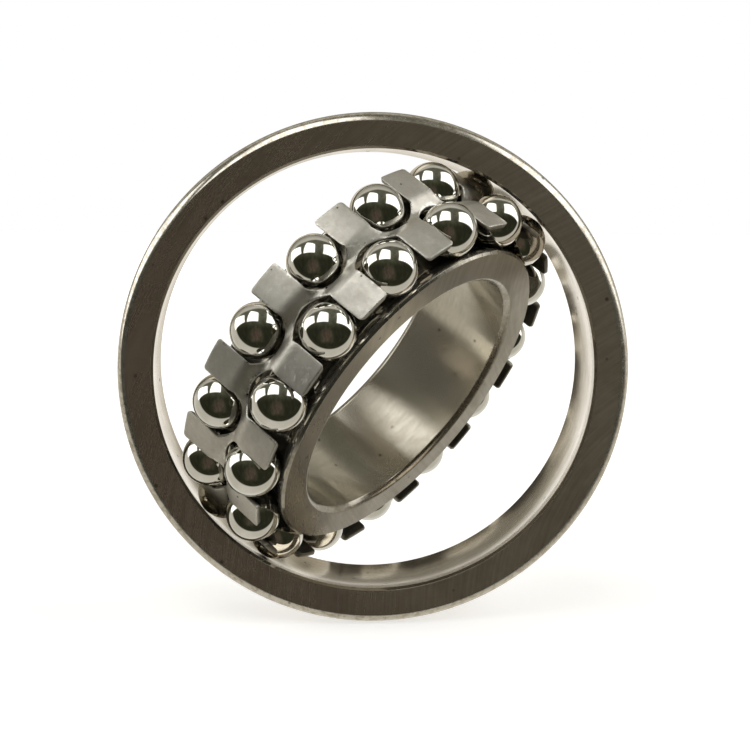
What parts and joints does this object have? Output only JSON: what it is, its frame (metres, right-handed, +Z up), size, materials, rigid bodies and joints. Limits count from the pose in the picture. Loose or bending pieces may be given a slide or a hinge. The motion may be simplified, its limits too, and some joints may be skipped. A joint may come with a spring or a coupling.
{
  "type": "self-aligning ball bearing",
  "caption": "Self-aligning ball bearing, with its inner ring, pressed cage and balls swivelled out of a plain outer ring that has a spherical raceway.",
  "frame": {"origin": "centre of the bearing, where the axes of both rings cross", "axes": "Y along the outer ring's axis with its front face towards -Y, Z up and X to the right"},
  "size_m": [0.09, 0.0748, 0.09],
  "materials": {
    "ring_steel": "ground and honed",
    "cage_steel": "pressed, matt",
    "ball_steel": "polished"
  },
  "bodies": {
    "outer_ring": {"outer_ring": "ring_steel"},
    "inner_ring": {"inner_ring": "ring_steel"},
    "cage": {"cage": "cage_steel"},
    "ball_front_01": {"ball_front_01": "ball_steel"},
    "ball_front_02": {"ball_front_02": "ball_steel"},
    "ball_front_03": {"ball_front_03": "ball_steel"},
    "ball_front_04": {"ball_front_04": "ball_steel"},
    "ball_front_05": {"ball_front_05": "ball_steel"},
    "ball_front_06": {"ball_front_06": "ball_steel"},
    "ball_front_07": {"ball_front_07": "ball_steel"},
    "ball_front_08": {"ball_front_08": "ball_steel"},
    "ball_front_09": {"ball_front_09": "ball_steel"},
    "ball_front_10": {"ball_front_10": "ball_steel"},
    "ball_front_11": {"ball_front_11": "ball_steel"},
    "ball_front_12": {"ball_front_12": "ball_steel"},
    "ball_front_13": {"ball_front_13": "ball_steel"},
    "ball_front_14": {"ball_front_14": "ball_steel"},
    "ball_front_15": {"ball_front_15": "ball_steel"},
    "ball_back_01": {"ball_back_01": "ball_steel"},
    "ball_back_02": {"ball_back_02": "ball_steel"},
    "ball_back_03": {"ball_back_03": "ball_steel"},
    "ball_back_04": {"ball_back_04": "ball_steel"},
    "ball_back_05": {"ball_back_05": "ball_steel"},
    "ball_back_06": {"ball_back_06": "ball_steel"},
    "ball_back_07": {"ball_back_07": "ball_steel"},
    "ball_back_08": {"ball_back_08": "ball_steel"},
    "ball_back_09": {"ball_back_09": "ball_steel"},
    "ball_back_10": {"ball_back_10": "ball_steel"},
    "ball_back_11": {"ball_back_11": "ball_steel"},
    "ball_back_12": {"ball_back_12": "ball_steel"},
    "ball_back_13": {"ball_back_13": "ball_steel"},
    "ball_back_14": {"ball_back_14": "ball_steel"},
    "ball_back_15": {"ball_back_15": "ball_steel"}
  },
  "joints": [
    {"name": "swivel", "type": "hinge", "parent": "outer_ring", "child": "cage", "pos_m": [0, 0, 0], "axis": [0.6225, 0, 0.7826], "range_deg": [-150.6, 29.4]},
    {"name": "inner_spin", "type": "hinge", "parent": "cage", "child": "inner_ring", "pos_m": [0, 0, 0], "axis": [0.6818, -0.4909, -0.5423], "continuous": true},
    {"name": "ball_front_01_spin", "type": "hinge", "parent": "cage", "child": "ball_front_01", "pos_m": [-0.00912, -0.03267, 0.0088], "axis": [0.7269, -0.3603, -0.5846], "continuous": true},
    {"name": "ball_front_02_spin", "type": "hinge", "parent": "cage", "child": "ball_front_02", "pos_m": [-0.01699, -0.03048, -0.00308], "axis": [0.7597, -0.3693, -0.5353], "continuous": true},
    {"name": "ball_front_03_spin", "type": "hinge", "parent": "cage", "child": "ball_front_03", "pos_m": [-0.02133, -0.02346, -0.0149], "axis": [0.7777, -0.3985, -0.4861], "continuous": true},
    {"name": "ball_front_04_spin", "type": "hinge", "parent": "cage", "child": "ball_front_04", "pos_m": [-0.02139, -0.01281, -0.02461], "axis": [0.778, -0.4428, -0.4457], "continuous": true},
    {"name": "ball_front_05_spin", "type": "hinge", "parent": "cage", "child": "ball_front_05", "pos_m": [-0.01716, -0.00037, -0.03054], "axis": [0.7603, -0.4945, -0.4211], "continuous": true},
    {"name": "ball_front_06_spin", "type": "hinge", "parent": "cage", "child": "ball_front_06", "pos_m": [-0.00936, 0.0117, -0.03167], "axis": [0.7279, -0.5447, -0.4164], "continuous": true},
    {"name": "ball_front_07_spin", "type": "hinge", "parent": "cage", "child": "ball_front_07", "pos_m": [0.00065, 0.02132, -0.02779], "axis": [0.6863, -0.5847, -0.4325], "continuous": true},
    {"name": "ball_front_08_spin", "type": "hinge", "parent": "cage", "child": "ball_front_08", "pos_m": [0.01115, 0.02683, -0.01958], "axis": [0.6427, -0.6076, -0.4667], "continuous": true},
    {"name": "ball_front_09_spin", "type": "hinge", "parent": "cage", "child": "ball_front_09", "pos_m": [0.02031, 0.02727, -0.00846], "axis": [0.6046, -0.6094, -0.5129], "continuous": true},
    {"name": "ball_front_10_spin", "type": "hinge", "parent": "cage", "child": "ball_front_10", "pos_m": [0.02655, 0.02256, 0.00365], "axis": [0.5786, -0.5899, -0.5632], "continuous": true},
    {"name": "ball_front_11_spin", "type": "hinge", "parent": "cage", "child": "ball_front_11", "pos_m": [0.0288, 0.01353, 0.01466], "axis": [0.5693, -0.5523, -0.609], "continuous": true},
    {"name": "ball_front_12_spin", "type": "hinge", "parent": "cage", "child": "ball_front_12", "pos_m": [0.02667, 0.00172, 0.02266], "axis": [0.5781, -0.5033, -0.6423], "continuous": true},
    {"name": "ball_front_13_spin", "type": "hinge", "parent": "cage", "child": "ball_front_13", "pos_m": [0.02052, -0.0108, 0.02626], "axis": [0.6037, -0.4512, -0.6573], "continuous": true},
    {"name": "ball_front_14_spin", "type": "hinge", "parent": "cage", "child": "ball_front_14", "pos_m": [0.01141, -0.02189, 0.02486], "axis": [0.6416, -0.4051, -0.6514], "continuous": true},
    {"name": "ball_front_15_spin", "type": "hinge", "parent": "cage", "child": "ball_front_15", "pos_m": [0.00093, -0.02963, 0.01868], "axis": [0.6851, -0.3729, -0.6257], "continuous": true},
    {"name": "ball_back_01_spin", "type": "hinge", "parent": "cage", "child": "ball_back_01", "pos_m": [-0.02031, -0.02727, 0.00846], "axis": [0.6046, -0.6094, -0.5129], "continuous": true},
    {"name": "ball_back_02_spin", "type": "hinge", "parent": "cage", "child": "ball_back_02", "pos_m": [-0.02655, -0.02256, -0.00365], "axis": [0.5786, -0.5899, -0.5632], "continuous": true},
    {"name": "ball_back_03_spin", "type": "hinge", "parent": "cage", "child": "ball_back_03", "pos_m": [-0.0288, -0.01353, -0.01466], "axis": [0.5693, -0.5523, -0.609], "continuous": true},
    {"name": "ball_back_04_spin", "type": "hinge", "parent": "cage", "child": "ball_back_04", "pos_m": [-0.02667, -0.00172, -0.02266], "axis": [0.5781, -0.5033, -0.6423], "continuous": true},
    {"name": "ball_back_05_spin", "type": "hinge", "parent": "cage", "child": "ball_back_05", "pos_m": [-0.02052, 0.0108, -0.02626], "axis": [0.6037, -0.4512, -0.6573], "continuous": true},
    {"name": "ball_back_06_spin", "type": "hinge", "parent": "cage", "child": "ball_back_06", "pos_m": [-0.01141, 0.02189, -0.02486], "axis": [0.6416, -0.4051, -0.6514], "continuous": true},
    {"name": "ball_back_07_spin", "type": "hinge", "parent": "cage", "child": "ball_back_07", "pos_m": [-0.00093, 0.02963, -0.01868], "axis": [0.6851, -0.3729, -0.6257], "continuous": true},
    {"name": "ball_back_08_spin", "type": "hinge", "parent": "cage", "child": "ball_back_08", "pos_m": [0.00912, 0.03267, -0.0088], "axis": [0.7269, -0.3603, -0.5846], "continuous": true},
    {"name": "ball_back_09_spin", "type": "hinge", "parent": "cage", "child": "ball_back_09", "pos_m": [0.01699, 0.03048, 0.00308], "axis": [0.7597, -0.3693, -0.5353], "continuous": true},
    {"name": "ball_back_10_spin", "type": "hinge", "parent": "cage", "child": "ball_back_10", "pos_m": [0.02133, 0.02346, 0.0149], "axis": [0.7777, -0.3985, -0.4861], "continuous": true},
    {"name": "ball_back_11_spin", "type": "hinge", "parent": "cage", "child": "ball_back_11", "pos_m": [0.02139, 0.01281, 0.02461], "axis": [0.778, -0.4428, -0.4457], "continuous": true},
    {"name": "ball_back_12_spin", "type": "hinge", "parent": "cage", "child": "ball_back_12", "pos_m": [0.01716, 0.00037, 0.03054], "axis": [0.7603, -0.4945, -0.4211], "continuous": true},
    {"name": "ball_back_13_spin", "type": "hinge", "parent": "cage", "child": "ball_back_13", "pos_m": [0.00936, -0.0117, 0.03167], "axis": [0.7279, -0.5447, -0.4164], "continuous": true},
    {"name": "ball_back_14_spin", "type": "hinge", "parent": "cage", "child": "ball_back_14", "pos_m": [-0.00065, -0.02132, 0.02779], "axis": [0.6863, -0.5847, -0.4325], "continuous": true},
    {"name": "ball_back_15_spin", "type": "hinge", "parent": "cage", "child": "ball_back_15", "pos_m": [-0.01115, -0.02683, 0.01958], "axis": [0.6427, -0.6076, -0.4667], "continuous": true}
  ],
  "couplings": [
    {"joint": "ball_front_01_spin", "follows": "inner_spin", "ratio": -6.2902},
    {"joint": "ball_front_02_spin", "follows": "inner_spin", "ratio": -6.2902},
    {"joint": "ball_front_03_spin", "follows": "inner_spin", "ratio": -6.2902},
    {"joint": "ball_front_04_spin", "follows": "inner_spin", "ratio": -6.2902},
    {"joint": "ball_front_05_spin", "follows": "inner_spin", "ratio": -6.2902},
    {"joint": "ball_front_06_spin", "follows": "inner_spin", "ratio": -6.2902},
    {"joint": "ball_front_07_spin", "follows": "inner_spin", "ratio": -6.2902},
    {"joint": "ball_front_08_spin", "follows": "inner_spin", "ratio": -6.2902},
    {"joint": "ball_front_09_spin", "follows": "inner_spin", "ratio": -6.2902},
    {"joint": "ball_front_10_spin", "follows": "inner_spin", "ratio": -6.2902},
    {"joint": "ball_front_11_spin", "follows": "inner_spin", "ratio": -6.2902},
    {"joint": "ball_front_12_spin", "follows": "inner_spin", "ratio": -6.2902},
    {"joint": "ball_front_13_spin", "follows": "inner_spin", "ratio": -6.2902},
    {"joint": "ball_front_14_spin", "follows": "inner_spin", "ratio": -6.2902},
    {"joint": "ball_front_15_spin", "follows": "inner_spin", "ratio": -6.2902},
    {"joint": "ball_back_01_spin", "follows": "inner_spin", "ratio": -6.2902},
    {"joint": "ball_back_02_spin", "follows": "inner_spin", "ratio": -6.2902},
    {"joint": "ball_back_03_spin", "follows": "inner_spin", "ratio": -6.2902},
    {"joint": "ball_back_04_spin", "follows": "inner_spin", "ratio": -6.2902},
    {"joint": "ball_back_05_spin", "follows": "inner_spin", "ratio": -6.2902},
    {"joint": "ball_back_06_spin", "follows": "inner_spin", "ratio": -6.2902},
    {"joint": "ball_back_07_spin", "follows": "inner_spin", "ratio": -6.2902},
    {"joint": "ball_back_08_spin", "follows": "inner_spin", "ratio": -6.2902},
    {"joint": "ball_back_09_spin", "follows": "inner_spin", "ratio": -6.2902},
    {"joint": "ball_back_10_spin", "follows": "inner_spin", "ratio": -6.2902},
    {"joint": "ball_back_11_spin", "follows": "inner_spin", "ratio": -6.2902},
    {"joint": "ball_back_12_spin", "follows": "inner_spin", "ratio": -6.2902},
    {"joint": "ball_back_13_spin", "follows": "inner_spin", "ratio": -6.2902},
    {"joint": "ball_back_14_spin", "follows": "inner_spin", "ratio": -6.2902},
    {"joint": "ball_back_15_spin", "follows": "inner_spin", "ratio": -6.2902}
  ]
}
